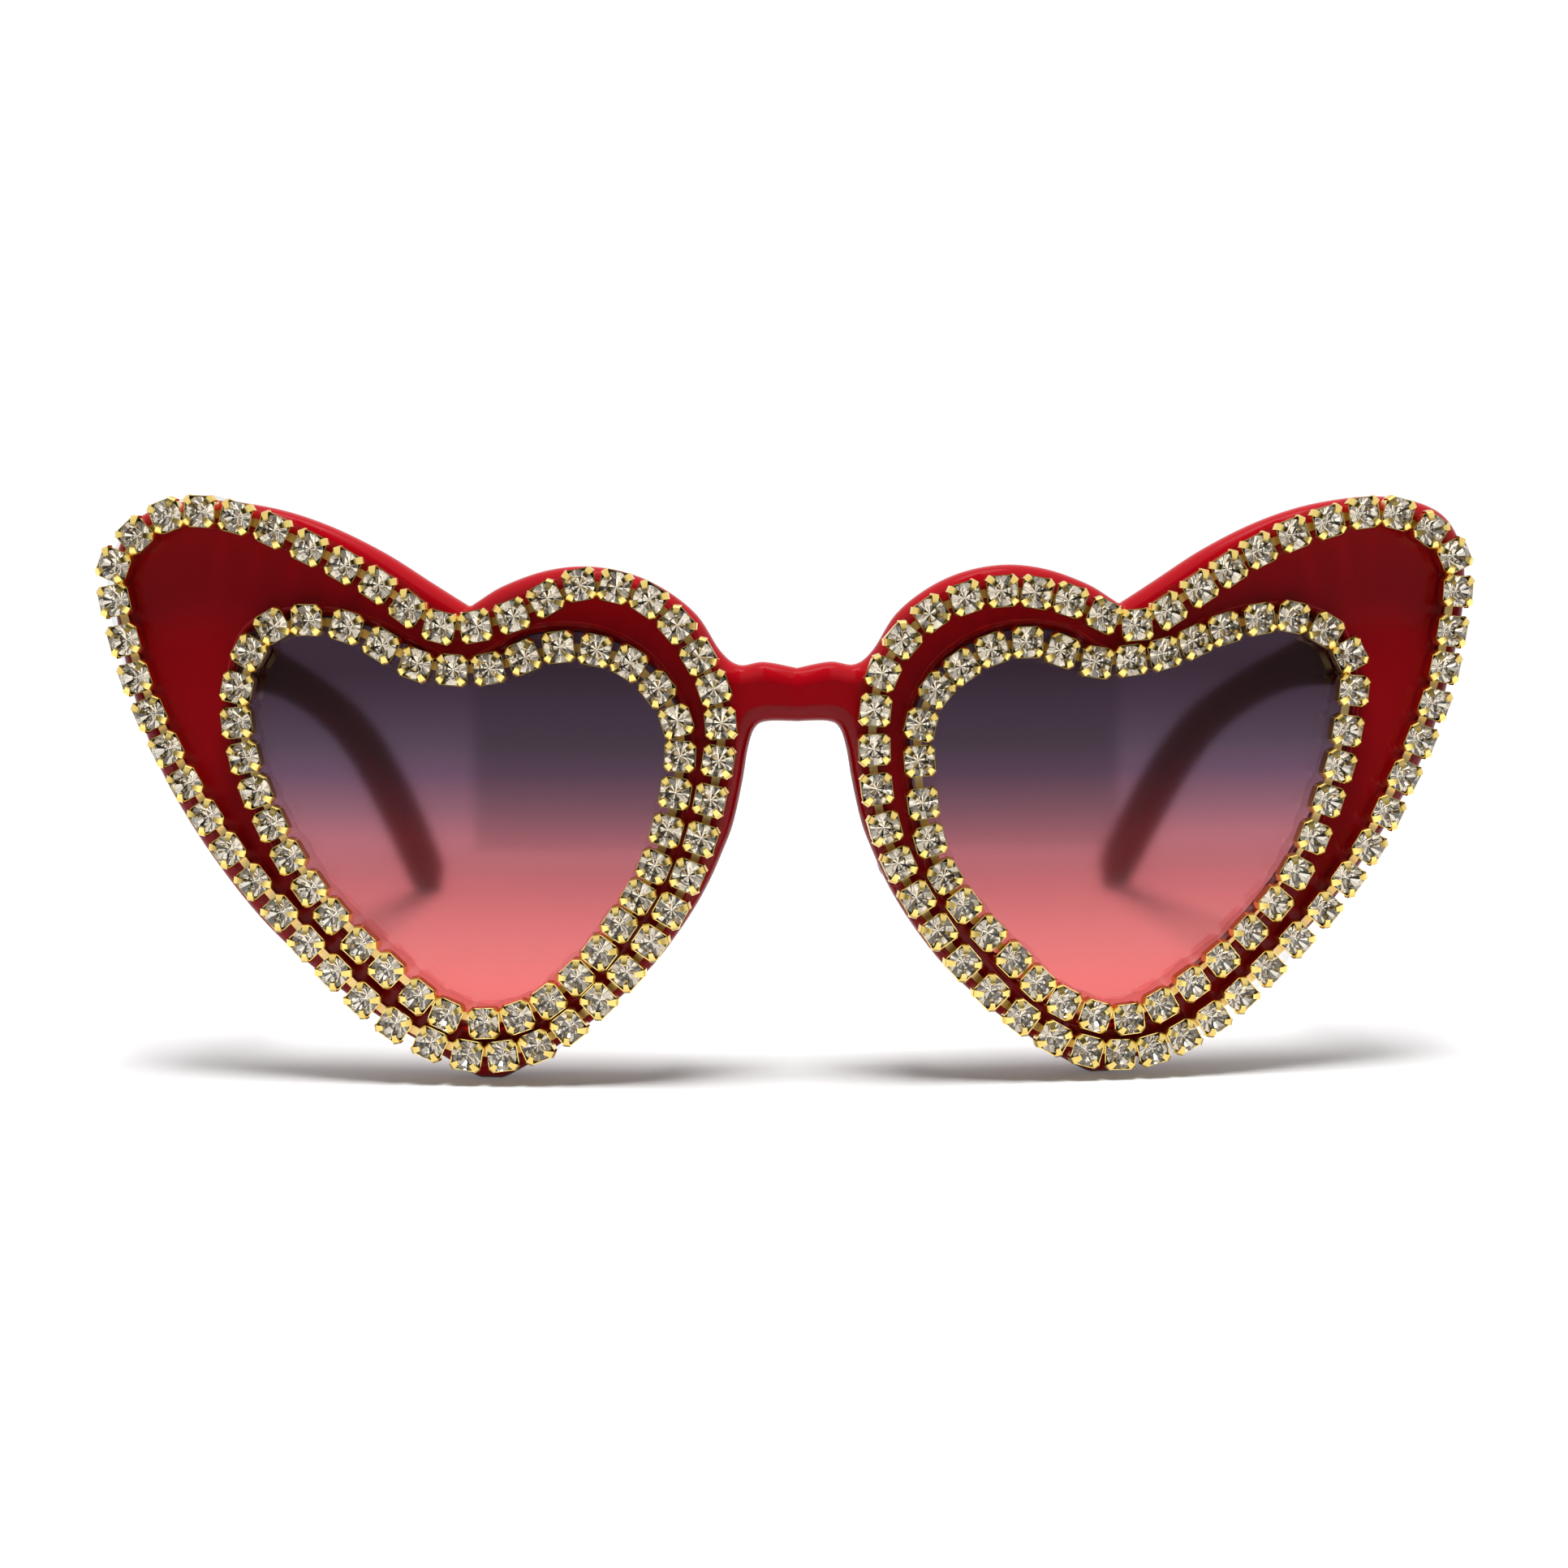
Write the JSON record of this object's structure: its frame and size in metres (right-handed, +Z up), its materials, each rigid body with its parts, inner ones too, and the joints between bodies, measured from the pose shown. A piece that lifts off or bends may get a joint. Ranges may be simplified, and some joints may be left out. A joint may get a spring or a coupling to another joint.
{
  "type": "heart shaped sunglasses",
  "caption": "Novelty sunglasses with two heart shaped tinted lenses in a glossy red cat-eye front, cup-chain rhinestones round each lens, and folding temples.",
  "frame": {"origin": "middle of the opened sunglasses' width and depth, on the surface that the rims and temple tips stand on", "axes": "+X from the wearer's right lens to the left one, along the front; +Y from the front back along the opened temples; +Z up"},
  "size_m": [0.15, 0.1462, 0.0639],
  "materials": {
    "frame_red": "polished moulded plastic",
    "temple_red": "polished moulded plastic",
    "lens_tint": "graduated tinted clear plastic, polished",
    "crystal": "cut and foiled clear crystal",
    "cup_gold": "bright gold plating",
    "link_brass": "bright gold plating",
    "clear_glue": "clear set glue",
    "hinge_brass": "plain rolled brass",
    "screw_steel": "turned steel"
  },
  "bodies": {
    "front": {"front_frame": "frame_red", "lens_left": "lens_tint", "lens_right": "lens_tint", "outer_glue_left": "clear_glue", "outer_links_left": "link_brass", "outer_cups_left": "cup_gold", "outer_stones_left": "crystal", "inner_glue_left": "clear_glue", "inner_links_left": "link_brass", "inner_cups_left": "cup_gold", "inner_stones_left": "crystal", "outer_glue_right": "clear_glue", "outer_links_right": "link_brass", "outer_cups_right": "cup_gold", "outer_stones_right": "crystal", "inner_glue_right": "clear_glue", "inner_links_right": "link_brass", "inner_cups_right": "cup_gold", "inner_stones_right": "crystal", "front_leaf_left": "hinge_brass", "front_leaf_right": "hinge_brass", "hinge_screw_left": "screw_steel", "hinge_screw_right": "screw_steel"},
    "temple_left": {"temple_left": "temple_red", "temple_leaf_left": "hinge_brass"},
    "temple_right": {"temple_right": "temple_red", "temple_leaf_right": "hinge_brass"}
  },
  "joints": [
    {"name": "temple_left_fold", "type": "hinge", "parent": "front", "child": "temple_left", "pos_m": [-0.0644, -0.05637, 0.048], "axis": [0, 0, -1], "range_deg": [0, 87]},
    {"name": "temple_right_fold", "type": "hinge", "parent": "front", "child": "temple_right", "pos_m": [0.0644, -0.05637, 0.048], "axis": [0, 0, 1], "range_deg": [0, 82]}
  ]
}
